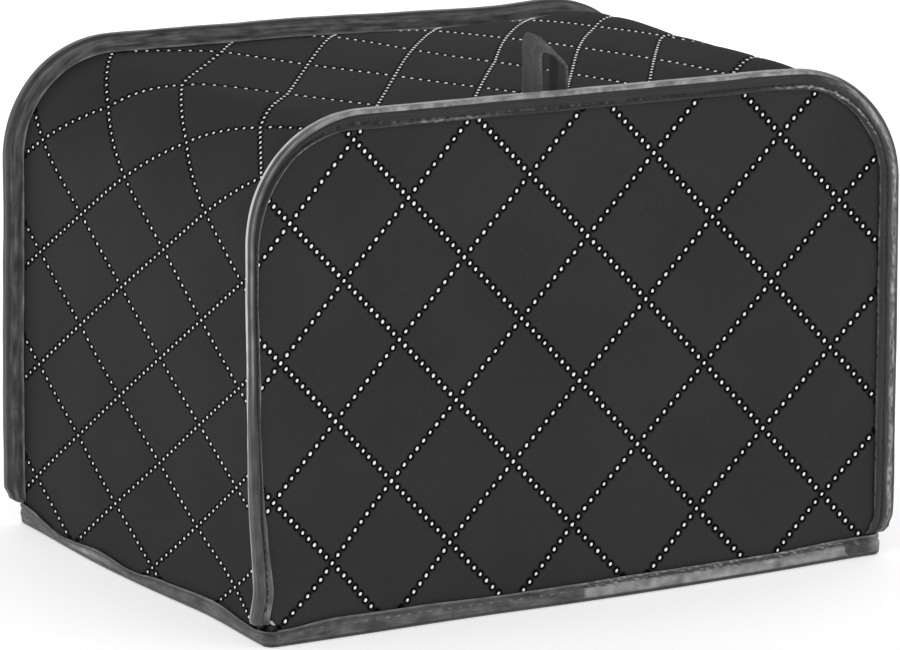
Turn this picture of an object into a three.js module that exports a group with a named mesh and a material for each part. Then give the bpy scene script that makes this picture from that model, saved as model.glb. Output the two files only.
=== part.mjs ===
// A quilted cloth cover for a bread maker, standing on its hem and open underneath.
// Two flat panels with round top corners are sewn to one long gusset, and the seam of each
// stands out as a bound flange. A tape binds the hem, and a tape loop stands on the top.
// Millimetres, +X to the right seen from the front, the front faces -Y, +Z is up.
// The origin is the middle of the footprint, on the surface that the hem rests on.
import * as THREE from 'three';

// Driving sizes of the finished cover
const cover = { width: 300, depth: 230, height: 209 };
const flange = { reach: 8, corner: 50 };
const cloth = { thick: 1.6, puff: 1.2, puffInside: 0.4 };
const tape = { thick: 1.0, leg: 8 };
const hem = { inside: 8, corner: 2.5, clear: 0.45 };
const loop = { x: -10.5, behindFront: 15, legsApart: 12, width: 15, thick: 1.6, tall: 27.5, clear: 0.45 };
const gap = 0.3;

// Layers of a flange, counted inwards from its outer face
const layer = {
  panelOut: tape.thick + gap,
  lipMiddle: tape.thick + gap + cloth.thick + gap + cloth.thick / 2,
  legOut: tape.thick + 3 * gap + 2 * cloth.thick,
  all: 2 * tape.thick + 3 * gap + 2 * cloth.thick,
};
const clothReach = flange.reach - tape.thick - 2 * gap;
const clothBottom = tape.thick + gap;

// The feet of the flanges round off just above the hem tape. Inside them the cloth's corners
// are cut off at 45 degrees, to clear the round corners of the hem tape: at the height level
// the cut is the distance inset in from the gusset's face.
const foot = { start: 10, level: 9.2, inset: 2.4 };
const footRound = [
  { above: 0, reach: 3.4, frontLeft: 7.2 },
  { above: 2, reach: 6.0, frontLeft: 8 },
  { above: 7.2, reach: 8, frontLeft: 8 },
];
// The binding's leg beside the gusset ends a little above it, and higher where the cloth swells
const backLeg = { lift: 1.2, shareOfSwell: 0.35 };

// The front hem bows out in front and the back right corner leans out to the right, so the
// cover is moved by half of each, which keeps the origin in the middle of its box
const bow = 5;
const cornerLean = 8;
const centreX = -cornerLean / 2 + 0.9;
const frontFace = -cover.depth / 2 + bow / 2;
const backFace = frontFace + cover.depth;

// How the standing cloth departs from a true box. Each row pushes the cloth by some
// millimetres along one axis, most at its centre and not at all past its spans.
const slumps = [
  { way: 'y', by: -bow, x: 0, spanX: 150, y: frontFace, spanY: 120, z: 0, spanZ: 45 },
  { way: 'y', by: 1.5, x: 145, spanX: 60, y: frontFace, spanY: 60, z: 0, spanZ: 25 },
  { way: 'x', by: -2.4, x: -150, spanX: 100, y: frontFace, spanY: 60, z: 0, spanZ: 24 },
  { way: 'x', by: -3.4, x: -142, spanX: 100, y: 18, spanY: 95, z: 0, spanZ: 60 },
  { way: 'x', by: 2.8, x: 150, spanX: 100, y: 0, spanY: 320, z: 0, spanZ: 18 },
  { way: 'x', by: -1.5, x: -142, spanX: 90, y: 0, spanY: 112, z: 90, spanZ: 100 },
  { way: 'x', by: 2.4, x: 142, spanX: 90, y: 0, spanY: 112, z: 80, spanZ: 110 },
  { way: 'y', by: -1.6, x: 20, spanX: 150, y: frontFace, spanY: 100, z: 95, spanZ: 100 },
  { way: 'y', by: 1.6, x: -10, spanX: 150, y: backFace, spanY: 100, z: 95, spanZ: 100 },
  { way: 'z', by: -1.6, x: -50, spanX: 110, y: 0, spanY: 112, z: 207, spanZ: 90 },
  { way: 'x', by: cornerLean + 3, x: 140, spanX: 110, y: backFace, spanY: 140, z: 196, spanZ: 110 },
  { way: 'z', by: 3, x: 140, spanX: 60, y: backFace, spanY: 100, z: 198, spanZ: 70 },
  { way: 'z', by: -2, x: 80, spanX: 100, y: backFace, spanY: 120, z: 209, spanZ: 80 },
  { way: 'x', by: 1.9, x: 0, spanX: 900, y: frontFace, spanY: 160, z: 110, spanZ: 400 },
  { way: 'y', by: -5.5, x: -150, spanX: 110, y: frontFace, spanY: 70, z: 0, spanZ: 70 },
  { way: 'x', by: -1.6, x: -150, spanX: 60, y: frontFace, spanY: 230, z: 0, spanZ: 24 },
  { way: 'z', by: -1.2, x: 145, spanX: 60, y: frontFace, spanY: 60, z: 200, spanZ: 60 },
  { way: 'x', by: -2.4, x: -150, spanX: 60, y: backFace, spanY: 120, z: 20, spanZ: 150 },
];

// How far the gusset swells out between its seams, by the distance along it from its left foot
const swell = { clear: 6, sharpness: 6 };
const swells = [
  { along: 0, rise: 0 },
  { along: 120, rise: 0.6 },
  { along: 250, rise: 0.8 },
  { along: 340, rise: 2.6 },
  { along: 410, rise: 5.2 },
  { along: 450, rise: 7.0 },
  { along: 490, rise: 6.4 },
  { along: 560, rise: 2.8 },
  { along: 646, rise: 0 },
];

// Height of the hem tape's outer leg, by the distance round the hem from the front left corner
const hemHeights = [
  { round: 0, height: 6.6 },
  { round: 30, height: 8.0 },
  { round: 140, height: 7.2 },
  { round: 225, height: 7.8 },
  { round: 265, height: 9.2 },
  { round: 400, height: 8.2 },
  { round: 506, height: 8.8 },
  { round: 650, height: 8.0 },
  { round: 787, height: 9.2 },
  { round: 829, height: 4.4 },
  { round: 869, height: 6.6 },
  { round: 898, height: 4.8 },
  { round: 925, height: 6.6 },
  { round: 965, height: 7.6 },
  { round: 1000, height: 5.6 },
  { round: 1013, height: 6.6 },
];

// Where the quilting lies on each cloth. A row is one term, and its place is multiplied by
// across and down as often as the row says. Lines cross wherever across and down sum to
// an even number on the panels, and to an odd number on the gusset.
const panelQuilt = [
  { across: 0, down: 0, x: -104.2, z: 197.4 },
  { across: 1, down: 0, x: 26.0, z: 3.08 },
  { across: 0, down: 1, x: -2.62, z: -27.57 },
  { across: 2, down: 0, x: 0.33, z: -0.12 },
  { across: 1, down: 1, x: 0.03, z: -0.36 },
  { across: 0, down: 2, x: 0.09, z: -0.05 },
];
// On the gusset u counts towards the front and v down the left side. A row is a value of v, with
// the places at u = 3 of along, the distance from the left foot, and of behind, the distance
// behind the front face. Each grows by its own step per u, and bend curves the steps of behind.
const middleU = 3;
const gussetQuilt = [
  { v: 6, along: 9.4, alongStep: 3.5, behind: 98.6, behindStep: -34.9, bend: 1.13 },
  { v: 2, along: 98.0, alongStep: 0, behind: 91.6, behindStep: -35.1, bend: 1.13 },
  { v: -2, along: 187.6, alongStep: -2.0, behind: 87.3, behindStep: -36.3, bend: 1.13 },
  { v: -3, along: 209.6, alongStep: -5.4, behind: 93, behindStep: -44.2, bend: 0 },
  { v: -4, along: 239.9, alongStep: -12.1, behind: 92.8, behindStep: -53.2, bend: 0 },
  { v: -6, along: 297.2, alongStep: -12.4, behind: 107, behindStep: -51.4, bend: 0 },
  { v: -8, along: 345.9, alongStep: -11, behind: 109.4, behindStep: -46.7, bend: 0 },
  { v: -12, along: 430.1, alongStep: -11.5, behind: 115, behindStep: -45.5, bend: 0 },
  { v: -16, along: 540, alongStep: -3, behind: 92, behindStep: -38, bend: 0 },
  { v: -21, along: 664, alongStep: -0.7, behind: 92.2, behindStep: -37.7, bend: 0 },
];
const quiltStep = 0.5;
const panelQuiltSpan = { across: [-3, 11], down: [-2, 8.5] };
const gussetQuiltSpan = { u: [-2, 7], v: [-21, 7] };

// Longest step and number of steps along a flange, round the hem and along the loop
const stations = {
  straight: 19,
  cornerSteps: 8,
  hemStraight: 18,
  hemCornerSteps: 4,
  legSteps: 4,
  bendSteps: 8,
};

function smooth(t) {
  const c = Math.min(1, Math.max(0, t));
  return c * c * (3 - 2 * c);
}

// Reads a table at a place, easing from row to row
function between(rows, key, value, at) {
  let k = 0;
  while (k < rows.length - 2 && at > rows[k + 1][key]) k += 1;
  const low = rows[k];
  const high = rows[k + 1];
  const t = smooth((at - low[key]) / (high[key] - low[key]));
  return low[value] + (high[value] - low[value]) * t;
}

function bump(distance, span) {
  const t = Math.min(1, Math.abs(distance) / span);
  return (1 - t * t) ** 2;
}

// Takes a point of the true box to where the standing cloth has it
function settle(x, y, z) {
  const point = new THREE.Vector3(x + centreX, y, z);
  for (const s of slumps) {
    point[s.way] += s.by * bump(x - s.x, s.spanX) * bump(y - s.y, s.spanY) * bump(z - s.z, s.spanZ);
  }
  return point;
}

// The arch that the gusset follows: up the left side, over the top and down the right side.
// Along starts at the left foot, and out is the distance outside the gusset's face.
const arch = {
  radius: flange.corner - flange.reach,
  side: cover.height - flange.corner,
  top: cover.width - 2 * flange.corner,
};
arch.bend = (arch.radius * Math.PI) / 2;
arch.length = 2 * arch.side + 2 * arch.bend + arch.top;

function archPoint(along, out) {
  const half = arch.top / 2;
  const right = along > arch.length / 2;
  const s = right ? arch.length - along : along;
  const point = { x: 0, z: 0 };
  if (s < arch.side) {
    point.x = -half - arch.radius - out;
    point.z = s;
  } else if (s < arch.side + arch.bend) {
    const turn = (s - arch.side) / arch.radius;
    point.x = -half - (arch.radius + out) * Math.cos(turn);
    point.z = arch.side + (arch.radius + out) * Math.sin(turn);
  } else {
    point.x = -half + (s - arch.side - arch.bend);
    point.z = arch.side + arch.radius + out;
  }
  if (right) point.x = -point.x;
  return point;
}

// Distances along the arch at which a swept piece has a section
function archStations(start) {
  const list = [];
  for (const row of footRound) list.push(start + row.above);
  const straight = (from, to) => {
    const n = Math.ceil((to - from) / stations.straight);
    for (let k = 1; k <= n; k += 1) list.push(from + ((to - from) * k) / n);
  };
  const bend = (from) => {
    for (let k = 1; k <= stations.cornerSteps; k += 1) {
      list.push(from + (arch.bend * k) / stations.cornerSteps);
    }
  };
  straight(list[list.length - 1], arch.side);
  bend(arch.side);
  straight(arch.side + arch.bend, arch.length / 2);
  const mirrored = list.slice(0, -1).reverse().map((s) => arch.length - s);
  return [...list, ...mirrored];
}

// How far a flange reaches out at a distance along the arch, rounded off at its feet, but
// hardly at the front left one
function flangeReach(along, facing) {
  const above = Math.min(along, arch.length - along) - foot.start;
  const column = facing > 0 && along < arch.length / 2 ? 'frontLeft' : 'reach';
  return between(footRound, 'above', column, Math.max(0, above));
}

// Height of a quilted diamond's pillow, 0 on the stitching lines and 1 at its middle
function pillow(across, down, odd) {
  const p = (across + down - odd) / 2;
  const q = (across - down - odd) / 2;
  const a = p - Math.floor(p);
  const b = q - Math.floor(q);
  return 4 * Math.sqrt(a * (1 - a) * b * (1 - b));
}

function panelPlace(across, down) {
  const place = { a: 0, b: 0 };
  for (const row of panelQuilt) {
    const power = across ** row.across * down ** row.down;
    place.a += row.x * power;
    place.b += row.z * power;
  }
  return place;
}

function gussetPlace(u, v) {
  const rows = gussetQuilt;
  let k = 0;
  while (k < rows.length - 2 && v < rows[k + 1].v) k += 1;
  const t = (rows[k].v - v) / (rows[k].v - rows[k + 1].v);
  const value = (column) => rows[k][column] + (rows[k + 1][column] - rows[k][column]) * t;
  const steps = u - middleU;
  return {
    a: value('along') + value('alongStep') * steps,
    b: value('behind') + value('behindStep') * steps + value('bend') * steps * steps,
  };
}

// Flat cloth as triangles whose edges lie on the quilting lines. A point has its flat place
// a and b, and its place u and v in the quilting. Turned is true where the map mirrors.
function quiltedCloth(spanU, spanV, odd, placeOf, turned) {
  const point = (u, v) => ({ ...placeOf(u, v), u, v });
  const offLine = (t) => Math.abs(t - odd - 2 * Math.round((t - odd) / 2));
  const triangles = [];
  for (let u = spanU[0]; u < spanU[1]; u += quiltStep) {
    for (let v = spanV[0]; v < spanV[1]; v += quiltStep) {
      const p = point(u, v);
      const q = point(u + quiltStep, v);
      const r = point(u + quiltStep, v + quiltStep);
      const s = point(u, v + quiltStep);
      const falling = offLine(u + v + quiltStep) < offLine(u - v);
      const pair = falling ? [[p, q, s], [q, r, s]] : [[p, q, r], [p, r, s]];
      triangles.push(...pair.map((t) => (turned ? [t[0], t[2], t[1]] : t)));
    }
  }
  return triangles;
}

const snap = 0.05;

// Cuts flat cloth along a line, and drops what lies where side is negative unless both is set
function cut(triangles, side, both = false) {
  const result = [];
  const mix = (p, q, t) => ({
    a: p.a + (q.a - p.a) * t,
    b: p.b + (q.b - p.b) * t,
    u: p.u + (q.u - p.u) * t,
    v: p.v + (q.v - p.v) * t,
  });
  const part = (triangle, sign) => {
    const polygon = [];
    triangle.forEach((p, k) => {
      const q = triangle[(k + 1) % 3];
      const dp = onLine(sign * side(p));
      const dq = onLine(sign * side(q));
      if (dp >= 0) polygon.push(p);
      if (dp * dq < 0) {
        const forward = p.a < q.a || (p.a === q.a && p.b < q.b);
        polygon.push(forward ? mix(p, q, dp / (dp - dq)) : mix(q, p, dq / (dq - dp)));
      }
    });
    for (let k = 2; k < polygon.length; k += 1) {
      const piece = [polygon[0], polygon[k - 1], polygon[k]];
      if (piece.some((p) => onLine(sign * side(p)) > 0)) result.push(piece);
    }
  };
  for (const triangle of triangles) {
    part(triangle, 1);
    if (both) part(triangle, -1);
  }
  return result;
}

function onLine(distance) {
  return Math.abs(distance) < snap ? 0 : distance;
}

// Closed solid from flat cloth: its outer face, its inner face and the wall round its edge
function thicken(triangles, place) {
  const corners = [];
  const index = [];
  const numbers = new Map();
  const number = (p, side) => {
    const key = `${p.a.toFixed(3)} ${p.b.toFixed(3)} ${side}`;
    if (!numbers.has(key)) {
      numbers.set(key, corners.length);
      corners.push(place(p, side));
    }
    return numbers.get(key);
  };
  const edges = new Map();
  for (const triangle of triangles) {
    const outer = triangle.map((p) => number(p, 1));
    if (new Set(outer).size < 3) continue;
    const inner = triangle.map((p) => number(p, -1));
    index.push(outer, [inner[0], inner[2], inner[1]]);
    for (let k = 0; k < 3; k += 1) {
      const m = (k + 1) % 3;
      const back = `${outer[m]} ${outer[k]}`;
      if (edges.has(back)) edges.delete(back);
      else edges.set(`${outer[k]} ${outer[m]}`, [outer[k], outer[m], inner[k], inner[m]]);
    }
  }
  for (const [po, qo, pi, qi] of edges.values()) index.push([qo, po, pi], [qo, pi, qi]);
  return geometryOf(corners, index);
}

function geometryOf(corners, index) {
  const geometry = new THREE.BufferGeometry();
  geometry.setFromPoints(corners);
  geometry.setIndex(index.flat());
  return geometry;
}

// Closed solid from rings of points. A closed run joins its last ring to its first.
function loft(rings, closed = false) {
  const size = rings[0].length;
  const corners = rings.flat();
  const index = [];
  const last = closed ? rings.length : rings.length - 1;
  for (let k = 0; k < last; k += 1) {
    const here = k * size;
    const next = ((k + 1) % rings.length) * size;
    for (let m = 0; m < size; m += 1) {
      const n = (m + 1) % size;
      index.push([here + m, next + m, next + n], [here + m, next + n, here + n]);
    }
  }
  return { corners, index, size };
}

// The ends of an open loft, filled in by the outline of its section
function capped(body, outline) {
  const faces = THREE.ShapeUtils.triangulateShape(outline, []);
  const winding = Math.sign(THREE.ShapeUtils.area(outline));
  const far = body.corners.length - body.size;
  for (const face of faces) {
    const same = Math.sign(THREE.ShapeUtils.area(face.map((k) => outline[k]))) === winding;
    const [a, b, c] = same ? face : [face[0], face[2], face[1]];
    body.index.push([a, b, c], [far + a, far + c, far + b]);
  }
  return geometryOf(body.corners, body.index);
}

// Panels

// Puffs die away next to a binding or the hem tape, which press the cloth flat
const pressed = { flat: 5, rising: 20 };

function fade(distance) {
  return smooth((distance - pressed.flat) / pressed.rising);
}

function outsideArch(x, z) {
  const half = arch.top / 2;
  const dx = Math.max(0, Math.abs(x) - half);
  const dz = Math.max(0, z - arch.side);
  if (Math.abs(x) > half && z > arch.side) return Math.hypot(dx, dz) - arch.radius;
  return Math.max(Math.abs(x) - half - arch.radius, z - arch.side - arch.radius);
}

function panel(facing) {
  // facing is 1 at the front and -1 at the back, where the cloth is the same seen from behind
  let sheet = quiltedCloth(panelQuiltSpan.across, panelQuiltSpan.down, 0, panelPlace, true);
  const edge = arch.top / 2 + arch.radius + clothReach;
  const top = arch.side + arch.radius + clothReach;
  sheet = cut(sheet, (p) => edge - p.a);
  sheet = cut(sheet, (p) => edge + p.a);
  sheet = cut(sheet, (p) => top - p.b);
  sheet = cut(sheet, (p) => p.b - clothBottom);
  for (const hand of [-1, 1]) {
    for (let k = 0; k < stations.cornerSteps; k += 1) {
      const turn = ((k + 0.5) / stations.cornerSteps) * (Math.PI / 2);
      const half = Math.PI / 4 / stations.cornerSteps;
      const reach = (arch.radius + clothReach) * Math.cos(half);
      sheet = cut(sheet, (p) => {
        const dx = hand * p.a - arch.top / 2;
        return reach - dx * Math.cos(turn) - (p.b - arch.side) * Math.sin(turn);
      });
    }
    // The foot, cut off slanting
    const inset = arch.top / 2 + arch.radius - foot.inset;
    sheet = cut(sheet, (p) => (p.b - foot.level + inset - hand * p.a) * Math.SQRT1_2);
  }

  const middle = layer.panelOut + cloth.thick / 2;
  const geometry = thicken(sheet, (p, side) => {
    const soft = fade(-outsideArch(p.a, p.b)) * fade(p.b - hem.inside);
    const height = pillow(p.u, p.v, 0) * soft;
    const out = side > 0 ? cloth.thick / 2 + cloth.puff * height
      : -cloth.thick / 2 - cloth.puffInside * height;
    const y = facing > 0 ? frontFace + middle - out : backFace - middle + out;
    return settle(facing * p.a, y, p.b);
  });
  return geometry;
}

// Gusset

function gussetSwell(along, behindFront) {
  const half = cover.depth / 2 - swell.clear;
  const t = Math.abs(behindFront - cover.depth / 2) / half;
  if (t >= 1) return 0;
  return between(swells, 'along', 'rise', along) * (1 - t ** swell.sharpness);
}

// A point of the gusset, a along the arch and b across from the front face. Past either fold
// the cloth turns outwards and stands against the panel as the lip of the flange.
function gussetPoint(p, side) {
  const middle = -cloth.thick / 2;
  const fold = layer.lipMiddle;
  const nearFront = p.b < cover.depth / 2;
  const inside = nearFront ? p.b - fold : cover.depth - fold - p.b;
  const half = cloth.thick / 2;
  let out = middle;
  let across = nearFront ? fold : cover.depth - fold;
  if (inside <= snap) {
    // The lip, or the fold itself, whose two faces meet as a mitre
    const turn = nearFront ? 1 : -1;
    across += turn * side * half;
    out += -inside;
    if (inside > -snap) out = middle + side * half;
  } else {
    const height = pillow(p.u, p.v, 1) * fade(inside) * fade(footHeight(p.a) - hem.inside);
    out += gussetSwell(p.a, p.b);
    out += side > 0 ? half + cloth.puff * height : -half - cloth.puffInside * height;
    across = p.b;
  }
  const at = archPoint(p.a, out);
  return settle(at.x, frontFace + across, at.z);
}

function footHeight(along) {
  return Math.min(along, arch.length - along);
}

function gusset() {
  let sheet = quiltedCloth(gussetQuiltSpan.u, gussetQuiltSpan.v, 1, gussetPlace, true);
  const fold = layer.lipMiddle;
  const lipEnd = fold - clothReach - cloth.thick / 2;
  sheet = cut(sheet, (p) => p.a - clothBottom);
  sheet = cut(sheet, (p) => arch.length - clothBottom - p.a);
  sheet = cut(sheet, (p) => p.b - lipEnd);
  sheet = cut(sheet, (p) => cover.depth - lipEnd - p.b);
  // Fold lines of the lips
  sheet = cut(sheet, (p) => p.b - fold, true);
  sheet = cut(sheet, (p) => cover.depth - fold - p.b, true);
  // The feet of the lips, cut off slanting
  const inset = fold - cloth.thick / 2 + foot.inset;
  const ends = [(p) => p.a, (p) => arch.length - p.a];
  const sides = [(p) => p.b, (p) => cover.depth - p.b];
  for (const end of ends) {
    for (const side of sides) {
      sheet = cut(sheet, (p) => (end(p) - foot.level + side(p) - inset) * Math.SQRT1_2);
    }
  }
  return thicken(sheet, gussetPoint);
}

// Bindings of the flanges: a tape folded over the edge, as a channel swept round the arch

function binding(facing) {
  const section = (reach, rise) => {
    const low = Math.max(0, reach - tape.leg);
    const lift = backLeg.lift + backLeg.shareOfSwell * rise;
    return [
      [0, low],
      [0, reach],
      [layer.all, reach],
      [layer.all, lift],
      [layer.legOut, lift],
      [layer.legOut, reach - tape.thick],
      [tape.thick, reach - tape.thick],
      [tape.thick, low],
    ];
  };
  const rings = archStations(foot.start).map((along) => {
    const rise = between(swells, 'along', 'rise', along);
    return section(flangeReach(along, facing), rise).map(([d, out]) => {
      const at = archPoint(along, out);
      return settle(at.x, facing > 0 ? frontFace + d : backFace - d, at.z);
    });
  });
  if (facing < 0) rings.reverse();
  const outline = section(footRound[0].reach, 0).map(([d, out]) => new THREE.Vector2(d, out));
  const body = loft(rings);
  return capped(body, outline);
}

// Hem binding: a channel round the bottom edge of all four walls

// A point of the hem's middle line, by the distance round it from the front left corner,
// with its outward direction
function hemLine() {
  const halfX = cover.width / 2 - flange.reach - cloth.thick / 2;
  const halfY = cover.depth / 2 - layer.panelOut - cloth.thick / 2;
  const centreY = frontFace + cover.depth / 2;
  const cornerX = halfX - hem.corner;
  const cornerY = halfY - hem.corner;
  const list = [];
  let round = 0;
  const sides = [
    { x: -cornerX, y: -cornerY, length: 2 * cornerX, turn: -90 },
    { x: cornerX, y: -cornerY, length: 2 * cornerY, turn: 0 },
    { x: cornerX, y: cornerY, length: 2 * cornerX, turn: 90 },
    { x: -cornerX, y: cornerY, length: 2 * cornerY, turn: 180 },
  ];
  for (const side of sides) {
    const steps = Math.ceil(side.length / stations.hemStraight);
    const turn = THREE.MathUtils.degToRad(side.turn);
    const out = { x: Math.cos(turn), y: Math.sin(turn) };
    for (let k = 0; k < steps; k += 1) {
      const run = (side.length * k) / steps;
      list.push({
        x: side.x - out.y * run + out.x * hem.corner,
        y: centreY + side.y + out.x * run + out.y * hem.corner,
        out,
        round: round + run,
      });
    }
    round += side.length;
    const end = { x: side.x - out.y * side.length, y: side.y + out.x * side.length };
    for (let k = 0; k < stations.hemCornerSteps; k += 1) {
      const angle = turn + ((Math.PI / 2) * k) / stations.hemCornerSteps;
      const way = { x: Math.cos(angle), y: Math.sin(angle) };
      list.push({
        x: end.x + way.x * hem.corner,
        y: centreY + end.y + way.y * hem.corner,
        out: way,
        round: round + (hem.corner * (angle - turn)),
      });
    }
    round += (hem.corner * Math.PI) / 2;
  }
  return list;
}

function hemBinding() {
  const near = cloth.thick / 2 + hem.clear;
  const far = near + tape.thick;
  const rings = hemLine().map((at) => {
    const height = between(hemHeights, 'round', 'height', at.round);
    const section = [
      [near, height],
      [near, tape.thick],
      [-near, tape.thick],
      [-near, hem.inside],
      [-far, hem.inside],
      [-far, 0],
      [far, 0],
      [far, height],
    ];
    return section.map(([o, z]) => settle(at.x + at.out.x * o, at.y + at.out.y * o, z));
  });
  const body = loft(rings, true);
  return geometryOf(body.corners, body.index);
}

// Loop: a short tape standing on the top as a narrow arch, both feet down on the gusset

function tapeLoop() {
  const half = loop.legsApart / 2;
  const legHeight = loop.tall - half - loop.thick / 2;
  const line = [];
  const { legSteps, bendSteps } = stations;
  for (let k = 0; k < legSteps; k += 1) {
    line.push({ x: -half, up: (legHeight * k) / legSteps, turn: 0 });
  }
  for (let k = 0; k <= bendSteps; k += 1) {
    const turn = (Math.PI * k) / bendSteps;
    line.push({ x: -half * Math.cos(turn), up: legHeight + half * Math.sin(turn), turn });
  }
  for (let k = legSteps - 1; k >= 0; k -= 1) {
    line.push({ x: half, up: (legHeight * k) / legSteps, turn: Math.PI });
  }
  const middleAlong = arch.length / 2 + loop.x;
  const corners = [[-1, -1], [1, -1], [1, 1], [-1, 1]];
  const rings = line.map((at) => {
    return corners.map(([side, end]) => {
      const offset = (side * loop.thick) / 2;
      const x = at.x - Math.cos(at.turn) * offset;
      const up = at.up + Math.sin(at.turn) * offset;
      const behind = loop.behindFront + (end * loop.width) / 2;
      const puff = cloth.puff * fade(behind - layer.all);
      const out = gussetSwell(middleAlong + x, behind) + loop.clear + puff;
      const base = archPoint(middleAlong + x, out);
      const ground = settle(base.x, frontFace + behind, base.z);
      ground.z += up;
      return ground;
    });
  });
  const outline = corners.map(([side, end]) => new THREE.Vector2(side, end));
  return capped(loft(rings), outline);
}

function material(color, roughness) {
  return new THREE.MeshStandardMaterial({ color, roughness, metalness: 0 });
}
const quilted = material(0x343434, 0.85);
const satin = material(0x5a5a5c, 0.5);
const woven = material(0x242424, 0.9);

const model = new THREE.Group();
function add(name, geometry, finish) {
  geometry.computeVertexNormals();
  const mesh = new THREE.Mesh(geometry, finish);
  mesh.name = name;
  model.add(mesh);
}
add('front_panel', panel(1), quilted);
add('back_panel', panel(-1), quilted);
add('gusset', gusset(), quilted);
add('front_binding', binding(1), satin);
add('back_binding', binding(-1), satin);
add('hem_binding', hemBinding(), satin);
add('top_loop', tapeLoop(), woven);

export default model;
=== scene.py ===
import math
import random

import bmesh
import bpy
from mathutils import Matrix, Vector, noise


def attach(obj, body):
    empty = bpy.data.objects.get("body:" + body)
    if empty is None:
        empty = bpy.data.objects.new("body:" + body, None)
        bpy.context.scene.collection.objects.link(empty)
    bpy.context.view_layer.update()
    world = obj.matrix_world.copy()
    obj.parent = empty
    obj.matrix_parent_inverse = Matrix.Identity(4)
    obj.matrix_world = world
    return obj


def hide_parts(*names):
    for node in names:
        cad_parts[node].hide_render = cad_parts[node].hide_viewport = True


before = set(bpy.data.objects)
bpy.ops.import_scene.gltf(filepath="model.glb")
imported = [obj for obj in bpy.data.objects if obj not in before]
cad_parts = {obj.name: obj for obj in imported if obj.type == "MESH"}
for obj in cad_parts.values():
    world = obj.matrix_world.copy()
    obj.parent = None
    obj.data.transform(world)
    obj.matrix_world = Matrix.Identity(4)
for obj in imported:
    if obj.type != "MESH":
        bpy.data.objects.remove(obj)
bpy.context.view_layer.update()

MM = 0.001

# Sizes of the finished cover in millimetres, as the frame has them
cover = {"width": 300, "depth": 230, "height": 209}
flange = {"reach": 8, "corner": 50}
cloth = {"thick": 1.6, "puff": 1.1, "edge_clear": 0.6}
tape = {"thick": 0.9, "leg": 8, "fold": 1.6}
layers = {"panel_middle": 2.1, "lip_middle": 4.0, "all": 6.1}
hem = {"inside": 8, "corner": 2.5, "far": 2.2}
foot = {"start": 10, "level": 9.2, "inset": 2.4}
loop = {"x": -10.5, "behind_front": 15, "legs_apart": 12, "width": 15, "thick": 1.5, "tall": 27.5,
        "droop": 4.5}
bow = 5
corner_lean = 8
centre_x = -corner_lean / 2 + 0.9
front_face = -cover["depth"] / 2 + bow / 2
back_face = front_face + cover["depth"]
cloth_reach = flange["reach"] - 1 - cloth["edge_clear"]
cloth_bottom = 1.3

# How the standing cloth departs from a true box
slumps = [
    {"way": 1, "by": -bow, "x": 0, "span_x": 150, "y": front_face, "span_y": 120, "z": 0, "span_z": 45},
    {"way": 1, "by": 1.5, "x": 145, "span_x": 60, "y": front_face, "span_y": 60, "z": 0, "span_z": 25},
    {"way": 0, "by": -2.4, "x": -150, "span_x": 100, "y": front_face, "span_y": 60, "z": 0, "span_z": 24},
    {"way": 0, "by": -3.4, "x": -142, "span_x": 100, "y": 18, "span_y": 95, "z": 0, "span_z": 60},
    {"way": 0, "by": 2.8, "x": 150, "span_x": 100, "y": 0, "span_y": 320, "z": 0, "span_z": 18},
    {"way": 0, "by": -1.5, "x": -142, "span_x": 90, "y": 0, "span_y": 112, "z": 90, "span_z": 100},
    {"way": 0, "by": 2.4, "x": 142, "span_x": 90, "y": 0, "span_y": 112, "z": 80, "span_z": 110},
    {"way": 1, "by": -1.6, "x": 20, "span_x": 150, "y": front_face, "span_y": 100, "z": 95, "span_z": 100},
    {"way": 1, "by": 1.6, "x": -10, "span_x": 150, "y": back_face, "span_y": 100, "z": 95, "span_z": 100},
    {"way": 2, "by": -1.6, "x": -50, "span_x": 110, "y": 0, "span_y": 112, "z": 207, "span_z": 90},
    {"way": 0, "by": corner_lean + 3, "x": 140, "span_x": 110, "y": back_face, "span_y": 140, "z": 196,
     "span_z": 110},
    {"way": 2, "by": 3, "x": 140, "span_x": 60, "y": back_face, "span_y": 100, "z": 198, "span_z": 70},
    {"way": 2, "by": -2, "x": 80, "span_x": 100, "y": back_face, "span_y": 120, "z": 209, "span_z": 80},
    {"way": 0, "by": 1.9, "x": 0, "span_x": 900, "y": front_face, "span_y": 160, "z": 110, "span_z": 400},
    {"way": 1, "by": -5.5, "x": -150, "span_x": 110, "y": front_face, "span_y": 70, "z": 0, "span_z": 70},
    {"way": 0, "by": -1.6, "x": -150, "span_x": 60, "y": front_face, "span_y": 230, "z": 0, "span_z": 24},
    {"way": 2, "by": -1.2, "x": 145, "span_x": 60, "y": front_face, "span_y": 60, "z": 200, "span_z": 60},
    {"way": 0, "by": -2.4, "x": -150, "span_x": 60, "y": back_face, "span_y": 120, "z": 20, "span_z": 150},
]

# How far the gusset swells out between its seams, by the distance along it
swell = {"clear": 6, "sharpness": 6}
swells = [(0, 0), (120, 0.6), (250, 0.8), (340, 2.6), (410, 5.2), (450, 7.0), (490, 6.4), (560, 2.8),
          (646, 0)]

# Height of the hem tape's outer leg, by the distance round the hem from the front left corner
hem_heights = [
    (0, 7.0), (25, 8.9), (60, 8.6), (95, 7.9), (133, 8.2), (150, 8.6), (225, 8.3), (265, 9.2), (400, 8.2),
    (506, 8.8), (650, 8.0),
    (787, 9.2), (829, 4.4), (869, 6.6), (898, 4.8), (925, 6.6), (965, 7.6), (1000, 5.6), (1013, 6.6),
]

# The same distance where the back starts, and where each side meets the plane of the front
hem_starts = {"back": 506, "right_side": 276.7, "left_side": 1012.8}

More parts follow.
